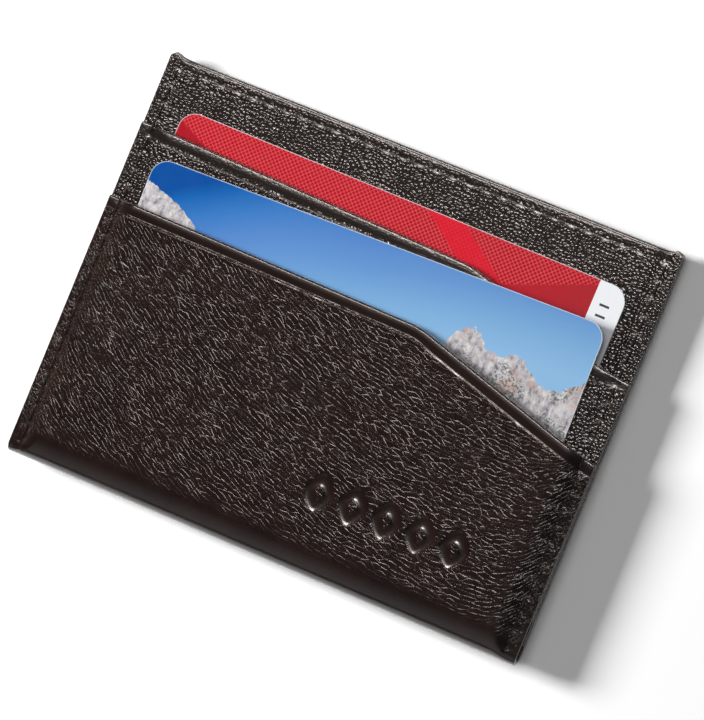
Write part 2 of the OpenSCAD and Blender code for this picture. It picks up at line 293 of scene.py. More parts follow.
def hem_relief(x, below):
    """Profile of a turned edge: a rounded bead, the crease where the hem ends, then a low lip."""
    bead = 0.10 * bell(below - 1.0, 0.7)
    uneven = 0.014 * (1 - 0.5 * on_slant(x))
    depth = 0.079 + uneven * soft_noise(x, 0 * x, 1.1, 5) + 0.020 * on_slant(x)
    depth = depth * (1 - 0.6 * smooth(34, 41, x))
    crease = depth * smooth(1.25, 2.3, below) * (1 - smooth(2.3, 2.62, below))
    lip = 0.03 * bell(below - 3.0, 0.35)
    return bead - crease + lip


def lozenges(x, up):
    """Depth, 0 to 1, of the pressed ornament."""
    place = (x - ORNAMENT_X) / ORNAMENT_PITCH
    half = (ORNAMENT_COUNT - 1) / 2
    nearest = np.clip(np.round(place + half), 0, ORNAMENT_COUNT - 1) - half
    dx = np.abs(x - ORNAMENT_X - nearest * ORNAMENT_PITCH) / (LOZENGE_W / 2)
    dy = np.abs(up - ORNAMENT_Y) / (LOZENGE_H / 2)
    size = 1 / np.hypot(2 / LOZENGE_W, 2 / LOZENGE_H)
    inward = (1 - (dx ** 1.4 + dy ** 1.4) ** (1 / 1.4)) * size
    return smooth(-0.28, 0.24, inward) * (1 - smooth(GROOVE_W - 0.24, GROOVE_W + 0.28, inward))


# ---- the skins of the leather
def front_skin(x, up):
    """Height of the grain side of the front pocket."""
    below = mouth_height(FRONT_MOUTH, x) - up
    z = SEAM_FRONT + (FRONT_Z - 0.14 - SEAM_FRONT) * cover_ramp(x)
    z = z + 0.06 * ramp(x) * (1 - (x / HALF_W) ** 2)
    z = z + hem_relief(x, below) * (0.4 + 0.6 * ramp(x))
    z = z + seam_channel(x, up)
    quiet = smooth(1.0, 4.0, below) * smooth(2.0, 9.0, up)
    z = z + wrinkles(x, up, 11, 0.028) * quiet
    near_right = smooth(HALF_W - 12, HALF_W - 4, x)
    z = z + 0.05 * near_right * quiet * soft_noise(x * 0.4, up - 0.9 * x, 1.3, 31)
    return z - PRESS_DEPTH * lozenges(x, up)


def middle_skin(x, up):
    """Height of the grain side of the middle pocket."""
    below = mouth_height(MIDDLE_MOUTH, x) - up
    z = between(SEAM_MIDDLE_FRONT, MIDDLE_FRONT - 0.07, x)
    z = z + 0.8 * hem_relief(x, below) * ramp(x) + seam_channel(x, up)
    return z + wrinkles(x, up, 51, 0.010)


def rear_skin(x, up):
    """Height of the grain side of the rear pocket."""
    z = between(SEAM_REAR_FRONT, REAR_FRONT - 0.05, x)
    z = z + hem_row_channel(x, up) + seam_channel(x, up)
    return z + wrinkles(x, up, 71, 0.012) * smooth(0.5, 3.0, HEIGHT - up)


def back_skin(x, up):
    """Height of the grain side of the back."""
    z = between(SEAM_BACK, 0.02, x)
    z = z - hem_row_channel(x, up) * 0.8 - seam_channel(x, up)
    z = z + (0.03 + wrinkles(x, up, 91, 0.02)) * smooth(2.0, 9.0, up)
    return np.maximum(z, 0.0)


# ---- mesh making
class Skin:
    """A sheet as rows of (up, z) over the columns at x, on its grain side and its flesh side.

    Two marks tell the material how the hide was worked: calm (pressed smooth) and pinch (finely puckered).
    """

    def __init__(self, x):
        self.x = x
        self.grain = []
        self.flesh = []
        self.calm = []
        self.pinch = []

    def add(self, up, z, flesh_up, flesh_z, calm=1.0, pinch=0.0):
        flat = 0 * self.x
        self.grain.append(np.stack([up + flat, z + flat], -1))
        self.flesh.append(np.stack([flesh_up + flat, flesh_z + flat], -1))
        self.calm.append(calm + flat)
        self.pinch.append(pinch + flat)


def seam_pinch(x):
    """How finely the leather is puckered near the side seams."""
    away = HALF_W - np.abs(x)
    return (1 - smooth(2.2, 6.0, away)) * smooth(0.2, 0.8, away)


def add_turned_edge(skin, edge_up, front, flap, t, face_first):
    """The turned-in hem: its flap and the roll over the edge, up to the face or back down from it."""
    mid = (front + flap) / 2
    half = (front - flap) / 2
    inside = front - t if np.all(front > flap) else front + t
    rows = [(edge_up - d, flap, edge_up - d, inside, 0.5) for d in graded((HEM_DEPTH, ROLL, 0.75))[:-1]]
    for degrees in np.linspace(-90, 90, 9)[:-1]:
        a = radians(degrees)
        rows.append((edge_up - ROLL + ROLL * cos(a), mid + half * sin(a), edge_up - ROLL, inside, 0.45, 0.8))
    for row in (rows[::-1] if face_first else rows):
        skin.add(*row)


def build_mesh(name, skin, marked=True, skip=3, edge_round=0.3):
    """Joins the two sides of a sheet, its ends and its cut side edges into one closed mesh."""
    x = skin.x
    grain = np.stack(skin.grain, 1)
    flesh = np.stack(skin.flesh, 1)
    columns, stations = grain.shape[:2]
    edge = HALF_W - np.abs(x)
    squeeze = 0.5 + 0.5 * np.sqrt(1 - (1 - np.clip(edge / edge_round, 0, 1)) ** 2)
    middle = (grain + flesh) / 2
    grain = middle + (grain - middle) * squeeze[:, None, None]
    flesh = middle + (flesh - middle) * squeeze[:, None, None]
    keep = list(range(0, stations, skip))
    if keep[-1] != stations - 1:
        keep.append(stations - 1)
    flesh = flesh[:, keep]
    inner = len(keep)

    def points(side):
        xx = np.broadcast_to(x[:, None, None], side.shape[:2] + (1,))
        up = side[..., :1] + BOTTOM
        return np.concatenate([xx, up, side[..., 1:]], -1).reshape(-1, 3)

    vertices = np.concatenate([points(grain), points(flesh)]) * MM

    def g(i, j):
        return i * stations + j

    def f(i, k):
        return columns * stations + i * inner + k

    faces = []
    for i in range(columns - 1):
        faces.extend((g(i, j), g(i + 1, j), g(i + 1, j + 1), g(i, j + 1)) for j in range(stations - 1))
        faces.extend((f(i, k), f(i, k + 1), f(i + 1, k + 1), f(i + 1, k)) for k in range(inner - 1))
        faces.append((g(i, 0), f(i, 0), f(i + 1, 0), g(i + 1, 0)))
        faces.append((g(i, stations - 1), g(i + 1, stations - 1), f(i + 1, inner - 1), f(i, inner - 1)))
    for i in (0, columns - 1):
        for k in range(inner - 1):
            rim = [g(i, j) for j in range(keep[k], keep[k + 1] + 1)]
            faces.append(tuple(rim + [f(i, k + 1), f(i, k)]))
    marks = {}
    if marked:
        marks["calm"] = np.concatenate([np.stack(skin.calm, 1).reshape(-1), np.ones(columns * inner)])
        marks["pinch"] = np.concatenate([np.stack(skin.pinch, 1).reshape(-1), np.zeros(columns * inner)])
    return finish_mesh(name, vertices, faces, marks)


def finish_mesh(name, vertices, faces, marks, sharp=50):
    mesh = bpy.data.meshes.new(name)
    mesh.from_pydata([tuple(v) for v in vertices], [], faces)
    for key, values in marks.items():
        mesh.attributes.new(key, "FLOAT", "POINT").data.foreach_set("value", values.astype(np.float32))
    work = bmesh.new()
    work.from_mesh(mesh)
    bmesh.ops.recalc_face_normals(work, faces=work.faces)
    work.to_mesh(mesh)
    work.free()
    mesh.shade_smooth()
    mesh.set_sharp_from_angle(angle=radians(sharp))
    piece = bpy.data.objects.new(name, mesh)
    bpy.context.scene.collection.objects.link(piece)
    return piece


def column_places():
    """Where the columns of a leather sheet stand: close together at the seams and the ornament."""
    ornament_half = (ORNAMENT_COUNT * ORNAMENT_PITCH) / 2
    left = ORNAMENT_X - ornament_half
    right = ORNAMENT_X + ornament_half
    return graded(
        (-HALF_W, -HALF_W + 0.6, 0.12), (-HALF_W + 0.6, -RAMP_IN, 0.3), (-RAMP_IN, left, 0.46),
        (left, right, 0.3), (right, RAMP_IN, 0.42), (RAMP_IN, HALF_W - 0.6, 0.3),
        (HALF_W - 0.6, HALF_W, 0.12),
    )


def round_fold(x, reach, steps):
    """Places round the bottom fold: how far out and how far forward each lies, and the half thickness."""
    front_half = front_skin(x, reach) - FOLD_Z
    back_half = FOLD_Z - back_skin(x, reach)
    for a in np.linspace(0, 180, steps)[1:-1]:
        yield sin(radians(a)), cos(radians(a)), front_half if a < 90 else back_half


def add_front_face(skin, edge, reach):
    """The front face from its mouth down to the fold, with the closest rows at the hem."""
    x = skin.x
    below_rows = graded((ROLL, 3.2, 0.2), (3.2, 9.0, 0.4))
    top_row = edge - below_rows[-1]
    ups = [edge - b for b in below_rows]
    ups += [top_row + (FOLD_BAND_TOP - top_row) * s for s in np.linspace(0, 1, 37)[1:]]
    ups += [FOLD_BAND_TOP + (reach - FOLD_BAND_TOP) * s for s in np.linspace(0, 1, 48)[1:]]
    slant = on_slant(x)
    for up in ups:
        z = front_skin(x, up)
        below = edge - up
        pressed = 1 - smooth(1.9 + 0.3 * slant, 2.35 + 0.3 * slant, below)
        stretched = 0.68 * (1 - smooth(3.8, 9.5, up))
        stamped = np.minimum(1.0, 2.2 * lozenges(x, up))
        calm = np.maximum(np.maximum(pressed, stretched), stamped)
        speckle = (2.0 - 1.7 * slant) * bell(below - 2.5, 0.3)
        beside_seam = seam_pinch(x) * smooth(2.0, 3.0, below) * smooth(1.0, 4.0, up)
        skin.add(up, z, up, z - COVER_T, calm, np.maximum(speckle, beside_seam))


def add_back_face(skin, reach):
    """The back from the fold up to its top hem; its grain is pressed flat near the fold."""
    ups = [reach + (BACK_HEM_ZONE - reach) * s for s in np.linspace(0, 1, 56)]
    ups += list(graded((BACK_HEM_ZONE, HEIGHT - ROLL, 0.45)))[1:]
    for up in ups:
        z = back_skin(skin.x, up)
        skin.add(up, z, up, z + COVER_T, 1 - smooth(5.0, 9.0, up))


def cover_skin():
    """The outer cover: flap, front hem, front face, fold, back, top hem, flap."""
    x = column_places()
    skin = Skin(x)
    edge = mouth_height(FRONT_MOUTH, x)
    front_flap = between(SEAM_MIDDLE_FRONT, FRONT_BACK, x)
    add_turned_edge(skin, edge, front_skin(x, edge - ROLL), front_flap, COVER_T, False)
    reach = between(FOLD_R, FOLD_REACH, x)
    add_front_face(skin, edge, reach)
    for lean, rise, half in round_fold(x, reach, 27):
        flesh_up = reach - (reach - COVER_T) * lean
        flesh_z = FOLD_Z + (half - COVER_T) * rise
        skin.add(reach * (1 - lean), FOLD_Z + half * rise, flesh_up, flesh_z, 0.6 + 0.35 * lean)
    add_back_face(skin, reach)
    back_flap = between(SEAM_BACK + COVER_T + LINING_T, COVER_T + PADDING_T + LINING_T, x)
    top = HEIGHT + 0.5 * corner_ear(x)
    add_turned_edge(skin, top, back_skin(x, HEIGHT - ROLL), back_flap, COVER_T, True)
    return skin


def panel_skin(mouth, surface, flap, foot, rim_calm, rim_end):
    """A pocket panel: flap, rolled mouth, a calmer rim, then its face down to the hidden foot."""
    x = column_places()
    skin = Skin(x)
    edge = mouth_height(mouth, x)
    add_turned_edge(skin, edge, surface(x, edge - ROLL), between(*flap, x), PANEL_T, False)
    rows = graded((ROLL, 3.2, 0.22), (3.2, PANEL_SEEN, 0.45))
    last = edge - rows[-1]
    ups = [edge - b for b in rows] + [last + (foot - last) * s for s in np.linspace(0, 1, 22)[1:]]
    for up in ups:
        z = surface(x, up)
        below = edge - up
        calm = rim_calm * (1 - smooth(rim_end - 0.5, rim_end, below))
        pinch = np.maximum(0.5 * bell(below - rim_end - 0.2, 0.4), 0.5 * seam_pinch(x))
        skin.add(up, z, up, z - PANEL_T, calm, pinch)
    return skin


# ---- thread
def twisted_stitch(start, end, sink, radius, seed):
    """One stitch between two holes as two plies wound round each other; returns points and faces."""
    start = Vector(start)
    end = Vector(end)
    along = (end - start).normalized()
    out = Vector((0, 0, 1.0 if sink < 0 else -1.0))
    side = along.cross(out)
    rings = 12
    sides = 6
    points = []
    faces = []
    for ply in (0, 1):
        first = len(points)
        for i in range(rings + 1):
            t = i / rings
            arch = min(1.0, sin(pi * t) * 2.2)
            centre = start.lerp(end, t) + out * (-(1 - arch) * abs(sink))
            turn = 2 * pi * (1.6 * t + 0.5 * ply + seed * 0.37)
            centre = centre + (side * cos(turn) + out * sin(turn)) * radius * 0.48
            for k in range(sides):
                a = 2 * pi * k / sides
                points.append(centre + (side * cos(a) + out * sin(a)) * radius * 0.56)
        for i in range(rings):
            for k in range(sides):
                a = first + i * sides + k
                b = first + i * sides + (k + 1) % sides
                faces.append((a, b, b + sides, a + sides))
        faces.append(tuple(first + k for k in range(sides)))
        faces.append(tuple(first + rings * sides + k for k in range(sides)))
    return points, faces


def thread_piece(name, stitches):
    """All the stitches of a row, front and back: each is (start, end, faces_front)."""
    points = []
    faces = []
    for number, (start, end, faces_front) in enumerate(stitches):
        sink = -THREAD_SINK if faces_front else THREAD_SINK
        made, joined = twisted_stitch(start, end, sink, THREAD_R, number)
        faces.extend(tuple(k + len(points) for k in face) for face in joined)
        points.extend(made)
    vertices = np.array([(p[0], p[1] + BOTTOM, p[2]) for p in points]) * MM
    return finish_mesh(name, vertices, faces, {}, sharp=80)


def side_surface(x, up):
    """The front-most leather at a point of a side seam."""
    here = np.array([float(x)])
    if up < mouth_height(FRONT_MOUTH, here)[0]:
        return float(front_skin(here, up)[0])
    if up < mouth_height(MIDDLE_MOUTH, here)[0]:
        return float(middle_skin(here, up)[0])
    return float(rear_skin(here, up)[0])


def side_stitches(side):
    out = []
    x = side * ROW_X
    for i in range(SIDE_COUNT - 1):
        a = FIRST_STITCH + i * PITCH + HOLE_SPACE
        b = a + PITCH - 2 * HOLE_SPACE
        middle = (a + b) / 2
        front = side_surface(x, middle) + 0.03
        back = float(back_skin(np.array([x]), middle)[0]) - 0.03
        out.append(((x - 0.06, a, front), (x + 0.06, b, front), True))
        out.append(((x - 0.06, a, back), (x + 0.06, b, back), False))
    return out


def row_stitches(surface, row_up, start, pitch, count, faces_front):
    out = []
    for i in range(count - 1):
        a = start + i * pitch + HOLE_SPACE
        b = a + pitch - 2 * HOLE_SPACE
        z = float(surface(np.array([(a + b) / 2]), row_up)[0]) + (-0.10 if faces_front else 0.10)
        out.append(((a, row_up + 0.05, z), (b, row_up - 0.05, z), faces_front))
    return out


# ---- materials
def new_material(name):
    material = bpy.data.materials.new(name)
    material.use_nodes = True
    return material, material.node_tree, material.node_tree.nodes["Principled BSDF"]


def set_inputs(node, inputs):
    """Gives each input of a node a constant, or the output that feeds it."""
    for socket, value in inputs.items():
        if isinstance(value, bpy.types.NodeSocket):
            node.id_data.links.new(value, node.inputs[socket])
        else:
            node.inputs[socket].default_value = value


def add(kind, inputs, tree=None, **settings):
    """Adds a shader node with its settings and inputs, to the tree that its inputs come from."""
    feeds = [v for v in inputs.values() if isinstance(v, bpy.types.NodeSocket)]
    made = (tree or feeds[0].id_data).nodes.new("ShaderNode" + kind)
    for key, value in settings.items():
        setattr(made, key, value)
    set_inputs(made, inputs)
    return made


def calc(operation, a, b=0.0, c=0.0, clamp=False):
    return add("Math", {0: a, 1: b, 2: c}, operation=operation, use_clamp=clamp).outputs[0]


def times(a, b):
    return calc("MULTIPLY", a, b)


def times_plus(a, b, c):
    return calc("MULTIPLY_ADD", a, b, c)


def minus(a, b):
    return calc("SUBTRACT", a, b)


def vector(operation, a, b):
    """Vector maths; b is a vector, or the factor of a SCALE."""
    second = "Scale" if operation == "SCALE" else 1
    return add("VectorMath", {0: a, second: b}, operation=operation).outputs[0]


def noise(place, scale, detail, **more):
    return add("TexNoise", {"Vector": place, "Scale": scale, "Detail": detail, **more}).outputs["Fac"]


def waves(place, scale, distortion, direction):
    inputs = {"Vector": place, "Scale": scale, "Distortion": distortion}
    return add("TexWave", inputs, wave_type="BANDS", bands_direction=direction).outputs["Fac"]


def tilted(height, strength, depth):
    """The surface's direction as a height field tilts it; depth is in millimetres."""
    return add("Bump", {"Height": height, "Strength": strength, "Distance": depth * MM}).outputs[0]


def span(value, low, high, out_low=0.0, out_high=1.0, step="SMOOTHSTEP"):
    """Maps low..high to out_low..out_high, with a soft or a linear change between."""
    ends = {"From Min": low, "From Max": high, "To Min": out_low, "To Max": out_high}
    return add("MapRange", {"Value": value, **ends}, interpolation_type=step).outputs["Result"]


def blend(share, first, second):
    return add("Mix", {"Factor": share, 6: first, 7: second}, data_type="RGBA").outputs[2]


def place_mm(tree):
    """Object coordinates in millimetres: the vector and its three parts."""
    spot = add("TexCoord", {}, tree).outputs["Object"]
    scaled = vector("SCALE", spot, 1 / MM)
    parts = add("SeparateXYZ", {0: scaled}).outputs
    return scaled, parts[0], parts[1], parts[2]


def srgb(r, g, b):
    """A colour given as it looks on screen, 0 to 255."""
    def line(c):
        c = c / 255
        return c / 12.92 if c <= 0.04045 else ((c + 0.055) / 1.055) ** 2.4
    return (line(r), line(g), line(b), 1.0)


def drawn_place(x, y, z):
    """Coordinates that follow the drawn grain: along it, across it, and depth."""
    square = times(times(x, x), GRAIN_BEND)
    slope = times_plus(x, GRAIN_LEAN, square)
    turn = calc("MAXIMUM", minus(x, TURN_START), 0.0)
    extra = times(times(turn, turn), GRAIN_TURN)
    climbed = calc("ADD", slope, extra)
    across = minus(y, climbed)
    along = times(x, 1.1)
    return add("CombineXYZ", {0: along, 1: across, 2: z}).outputs[0]


def stretched(place, along, across, shift, drift):
    """Moves a field to its own place and scales it to cells of the given size in millimetres."""
    moved = vector("ADD", place, (shift, shift * drift, 0))
    return vector("MULTIPLY", moved, (1 / along, 1 / across, 1 / across))


def cells(place, along, across, shift, feature, order=1.0):
    inputs = {"Vector": stretched(place, along, across, shift, 0.7), "Scale": 1.0, "Randomness": order}
    return add("TexVoronoi", inputs, feature=feature, voronoi_dimensions="2D").outputs["Distance"]


def crease_lines(place, along, across, shift):
    """Long wandering creases: 0 in a crease, 1 on the leather between."""
    field = noise(stretched(place, along, across, shift, 0.6), 1.0, 1.0, Roughness=0.5)
    away = calc("ABSOLUTE", minus(field, 0.5))
    return span(away, 0.0, 0.10)


def swayed(base, place, scale, amount):
    """Pushes coordinates about a little, so that the rows of the grain wander."""
    ripple = add("TexNoise", {"Vector": place, "Scale": scale, "Detail": 1.5}).outputs["Color"]
    push = vector("SUBTRACT", ripple, (0.5, 0.5, 0.5))
    return vector("ADD", base, vector("SCALE", push, amount))


def drawn_grain(place, base, valleys, along, across, seed):
    """Height of flat-topped cells between long creases, as on hide drawn one way."""
    long_crease = crease_lines(base, along * 2.2, across * 1.7, seed)
    uneven = span(noise(place, 0.7, 2.0), 0.36, 0.60, 0.65, 1.15)
    tops = times(span(valleys, 0.0, 0.13, step="LINEAR"), uneven)
    height = calc("ADD", times(long_crease, 0.45), tops)
    fine = cells(base, along * 0.45, across * 0.5, seed + 7, "DISTANCE_TO_EDGE")
    return times_plus(span(fine, 0.0, 0.3), 0.10, height)


def pebbled_grain(place, base, valleys, along, across, seed):
    """Height of small round domes."""
    domes = cells(base, along, across, seed, "F1", 0.85)
    height = times_plus(times(domes, domes), -1.5, times(domes, -0.7))
    return times_plus(span(valleys, 0.0, 0.25), 0.25, height)


def mark(tree, name):
    """A mark that Skin left on the mesh."""
    return add("Attribute", {}, tree, attribute_name=name, attribute_type="GEOMETRY").outputs["Fac"]


def worked_grain(grain, calm, patch, pores):
    """The grain as it is left where the hide is pressed smooth."""
    live = calc("SUBTRACT", 1.0, calm, clamp=True)
    strength = times(live, span(patch, 0.3, 0.7, 0.75, 1.15))
    return times_plus(pores, 0.025, times(grain, calc("MAXIMUM", strength, 0.10)))


def leather_colour(x, valleys, calm, patch, colour, glow):
    """Painted shade darkens the valleys of the grain; a little lighter in patches, raw at the cut side
    edges.
    """
    # painted shade: the valleys take a darker copy of the colour, except where the hide is pressed smooth
    unshaded_share = calc("MAXIMUM", span(valleys, 0.0, 0.14), calm)
    tone = blend(unshaded_share, tuple(c * 0.4 for c in colour[:3]) + (1.0,), colour)
    tone = blend(span(patch, 0.35, 0.7), tone, glow)
    cut_edge = calc("GREATER_THAN", calc("ABSOLUTE", x), HALF_W - 0.02)
    return blend(cut_edge, tone, srgb(74, 52, 40))


def leather_material(name, drawn, cell, seed, sway, depth, pucker_share, colour, glow, specular, coat):
    """Leather with a drawn or a pebbled grain; coat is the weight and roughness of its clear finish."""
    material, tree, shader = new_material(name)
    place, x, y, z = place_mm(tree)
    base = drawn_place(x, y, z) if drawn else place
    base = swayed(base, place, *sway)
    valleys = cells(base, *cell, seed, "DISTANCE_TO_EDGE", 0.85)
    grain = drawn_grain if drawn else pebbled_grain
    height = grain(place, base, valleys, *cell, seed)
    calm = mark(tree, "calm")
    pores = noise(place, 5.0, 1.0)
    patch = noise(place, 0.16, 2.0)
    height = worked_grain(height, calm, patch, pores)
    pucker = times(noise(place, 2.1, 2.0), mark(tree, "pinch"))
    rough = times_plus(pores, 0.12, LEATHER_ROUGH - 0.06)
    set_inputs(shader, {
        "Base Color": leather_colour(x, valleys, calm, patch, colour, glow),
        "Roughness": times_plus(calm, 0.06, rough),
        "Normal": tilted(times_plus(pucker, pucker_share, height), 1.0, depth),
        "Specular IOR Level": specular,
        "Coat Weight": coat[0],
        "Coat Roughness": coat[1],
    })
    return material


def cover_leather_material():
    return leather_material("cover_leather", True, (2.05, 0.76), 3, (0.22, 1.7), 0.051, 3.3,
                            srgb(22, 11, 8), srgb(28, 15, 11), 0.38, (0.9, 0.12))


def panel_leather_material():
    return leather_material("panel_leather", False, (0.67, 0.58), 17, (0.32, 1.2), 0.118, 1.7,
                            srgb(20, 13, 10), srgb(24, 16, 13), 0.75, (1.0, 0.21))


def lining_material():
    """A dark twill: diagonal ribs crossed by fine yarns."""
    material, tree, shader = new_material("lining_twill")
    place = place_mm(tree)[0]
    ribs = waves(place, 1.15, 0.3, "DIAGONAL")
    yarns = waves(place, 2.4, 0.2, "X")
    fuzz = noise(place, 6.0, 3.0)
    height = times_plus(fuzz, 0.3, times_plus(yarns, 0.35, ribs))
    set_inputs(shader, {
        "Base Color": blend(ribs, srgb(24, 22, 22), srgb(52, 47, 45)),
        "Roughness": span(fuzz, 0.2, 0.8, 0.6, 0.85),
        "Normal": tilted(height, 0.8, 0.06),
    })
    return material


def board_material(name, light, dark):
    """Pressed fibre, for the padding sheets and the stiffener."""
    material, tree, shader = new_material(name)
    place = place_mm(tree)[0]
    fibre = noise(place, 3.0, 6.0)
    fleck = add("TexVoronoi", {"Vector": place, "Scale": 1.4}).outputs["Distance"]
    set_inputs(shader, {
        "Base Color": blend(span(fibre, 0.35, 0.65), dark, light),
        "Roughness": span(fibre, 0.2, 0.8, 0.7, 0.95),
        "Normal": tilted(calc("ADD", fibre, fleck), 0.6, 0.05),
    })
    return material


def thread_material():
    material, tree, shader = new_material("waxed_thread")
    place = place_mm(tree)[0]
    fibre = noise(place, 7.0, 4.0)
    strand = waves(place, 3.2, 1.5, "DIAGONAL")
    set_inputs(shader, {
        "Base Color": blend(fibre, srgb(16, 13, 12), srgb(40, 31, 27)),
        "Roughness": span(strand, 0.0, 1.0, 0.55, 0.75),
        "Normal": tilted(calc("ADD", fibre, strand), 0.7, 0.03),
        "Specular IOR Level": 0.25,
    })
    return material


# ---- pieces
def settle(piece, material, replaced):
    """Gives a wallet piece its body, slot and material, and hides the CAD node that it stands for."""
    piece.data.materials.append(material)
    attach(piece, "wallet")
    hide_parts(replaced)


def make_panels(leather):
    """The two pocket panels, each with the heights of its turned-in hem at the seams and over the cards."""
    for tier, mouth, surface, flap, foot, rim_calm, rim_end in (
        ("middle", MIDDLE_MOUTH, middle_skin, (SEAM_REAR_FRONT, MIDDLE_BACK), MIDDLE_PANEL_FOOT, 0.85, 2.3),
        ("rear", REAR_MOUTH, rear_skin, (SEAM_REAR_BACK, REAR_BACK), REAR_PANEL_FOOT, 0.6, 1.5),
    ):
        skin = panel_skin(mouth, surface, flap, foot, rim_calm, rim_end)
        settle(build_mesh(tier + "_panel_leather", skin), leather, tier + "_pocket_panel")


def inner_columns(step):
    return graded((-HALF_W + INNER_INSET, HALF_W - INNER_INSET, step))


def inner_mesh(name, skin):
    """An inner sheet as a mesh: it has coarser rows than the leather and no marks."""
    return build_mesh(name, skin, marked=False, skip=2, edge_round=0.1)


def sheet_behind(name, mouth, outer, depth, bulge, thickness, drop, foot, direction=-1):
    """A thin sheet that follows a skin at a given depth, and bulge deeper still over the cards."""
    skin = Skin(inner_columns(0.9))
    edge = mouth_height(mouth, skin.x)
    for s in np.linspace(0, 1, 60):
        up = (edge - drop) * (1 - s) + foot * s
        z = outer(skin.x, up) + direction * (depth + bulge * ramp(skin.x))
        skin.add(up, z, up, z + direction * thickness)
    return inner_mesh(name, skin)


def cover_lining_mesh():
    """The lining follows the inside of the cover from the front flap round the fold to the back flap."""
    x = inner_columns(0.8)
    skin = Skin(x)
    reach = between(FOLD_R, FOLD_REACH, x)
    outer = COVER_T + PADDING_T * ramp(x) + CLOTH_PLAY
    inner = outer + SHOWN_LINING_T
    front_end = mouth_height(FRONT_MOUTH, x) - LINING_DROP
    for s in np.linspace(0, 1, 44):
        up = front_end * (1 - s) + reach * s
        z = front_skin(x, up)
        skin.add(up, z - outer, up, z - inner)
    for lean, rise, half in round_fold(x, reach, 19):
        skin.add(reach - (reach - outer) * lean, FOLD_Z + (half - outer) * rise,
                 reach - (reach - inner) * lean, FOLD_Z + (half - inner) * rise)
    for s in np.linspace(0, 1, 60):
        up = reach * (1 - s) + (HEIGHT - LINING_DROP) * s
        z = back_skin(x, up)
        skin.add(up, z + outer, up, z + inner)
    return inner_mesh("cover_lining_cloth", skin)


def make_linings(lining):
    """Pocket cloth behind each leather sheet."""
    cloth = cover_lining_mesh()
    settle(cloth, lining, "cover_lining")
    for tier, mouth, outer, bulge, foot, tall in (
        ("middle", MIDDLE_MOUTH, middle_skin, PADDING_T, MIDDLE_LINING_FOOT, MIDDLE_POCKET_CUT),
        ("rear", TOP_MOUTH, rear_skin, 0.0, REAR_LINING_FOOT, HEIGHT),
    ):
        cloth = sheet_behind(tier + "_lining_cloth", mouth, outer, PANEL_T + CLOTH_PLAY, bulge,
                             SHOWN_LINING_T, LINING_DROP, foot)
        settle(cloth, lining, tier + "_pocket_lining")


def make_boards(felt, board):
    """The padding behind the front and the middle leather, and the stiffener inside the back."""
    for tier, mouth, outer, leather_t, foot in (
        ("front", FRONT_MOUTH, front_skin, COVER_T, FRONT_PAD_FOOT),
        ("middle", MIDDLE_MOUTH, middle_skin, PANEL_T, MIDDLE_PAD_FOOT),
    ):
        pad = sheet_behind(tier + "_padding_felt", mouth, outer, leather_t + BOARD_PLAY, 0.0,
                           SHOWN_BOARD_T, BOARD_DROP, foot)
        settle(pad, felt, tier + "_pocket_padding")
    stiffener = sheet_behind("back_stiffener_board", TOP_MOUTH, back_skin, COVER_T + BOARD_PLAY, 0.0,
                             SHOWN_BOARD_T, BOARD_DROP, STIFFENER_FOOT, direction=1)
    settle(stiffener, board, "back_stiffener")


def make_threads(thread):
    """The two side seams, the hem rows of the rear panel and the back, and the hidden pocket floor."""
    rear_row = row_stitches(rear_skin, HEM_ROW, HEM_START, PITCH, HEM_COUNT, True)
    back_row = row_stitches(back_skin, HEM_ROW, HEM_START, PITCH, HEM_COUNT, False)
    floor_start = -(FLOOR_COUNT - 1) / 2 * FLOOR_PITCH
    floor_row = row_stitches(middle_skin, FLOOR_ROW, floor_start, FLOOR_PITCH, FLOOR_COUNT, True)
    rows = (
        ("left_seam_stitches", "left_seam_thread", side_stitches(-1)),
        ("right_seam_stitches", "right_seam_thread", side_stitches(1)),
        ("rear_hem_stitches", "rear_panel_hem_thread", rear_row),
        ("back_hem_stitches", "cover_back_hem_thread", back_row),
        ("pocket_floor_stitches", "middle_pocket_floor_thread", floor_row),
    )
    for name, node, stitches in rows:
        settle(thread_piece(name, stitches), thread, node)


def make_wallet():
    leather = panel_leather_material()
    cover = build_mesh("cover_leather", cover_skin())
    settle(cover, cover_leather_material(), "outer_cover")
    make_panels(leather)
    make_linings(lining_material())
    felt = board_material("padding_felt", srgb(92, 88, 84), srgb(60, 57, 55))
    make_boards(felt, board_material("fibre_board", srgb(150, 135, 115), srgb(110, 95, 78)))
    make_threads(thread_material())


# ---- printed cards
def card_tilt(stripe_node):
    """How far a card is turned in its pocket, from the two ends of its magnetic stripe."""
    corners = [v.co.copy() for v in nodes[stripe_node].data.vertices]
    right_x = max(c.x for c in corners)
    left_x = min(c.x for c in corners)
    right_ys = [c.y for c in corners if abs(c.x - right_x) < 2 * MM]
    left_ys = [c.y for c in corners if abs(c.x - left_x) < 2 * MM]
    rise = sum(right_ys) / len(right_ys) - sum(left_ys) / len(left_ys)
    return float(np.arctan2(rise, right_x - left_x))


def turned_by(spot, angle):
    inputs = {"Vector": spot, "Axis": (0, 0, 1), "Angle": angle}
    return add("VectorRotate", inputs, rotation_type="AXIS_ANGLE").outputs[0]


def card_place(tree, body_node, stripe_node):
    """Card coordinates in millimetres from the card's centre, along its long and short sides."""
    low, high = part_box(body_node)
    moved = vector("SUBTRACT", place_mm(tree)[0], tuple((low + high) / 2 / MM))
    turned = turned_by(moved, -card_tilt(stripe_node))
    parts = add("SeparateXYZ", {0: turned}).outputs
    return turned, parts[0], parts[1], parts[2]


def printed(r, g, b):
    """A print colour that looks like this on screen under the studio lights."""
    return tuple(c * PRINT_GAIN for c in srgb(r, g, b)[:3]) + (1.0,)


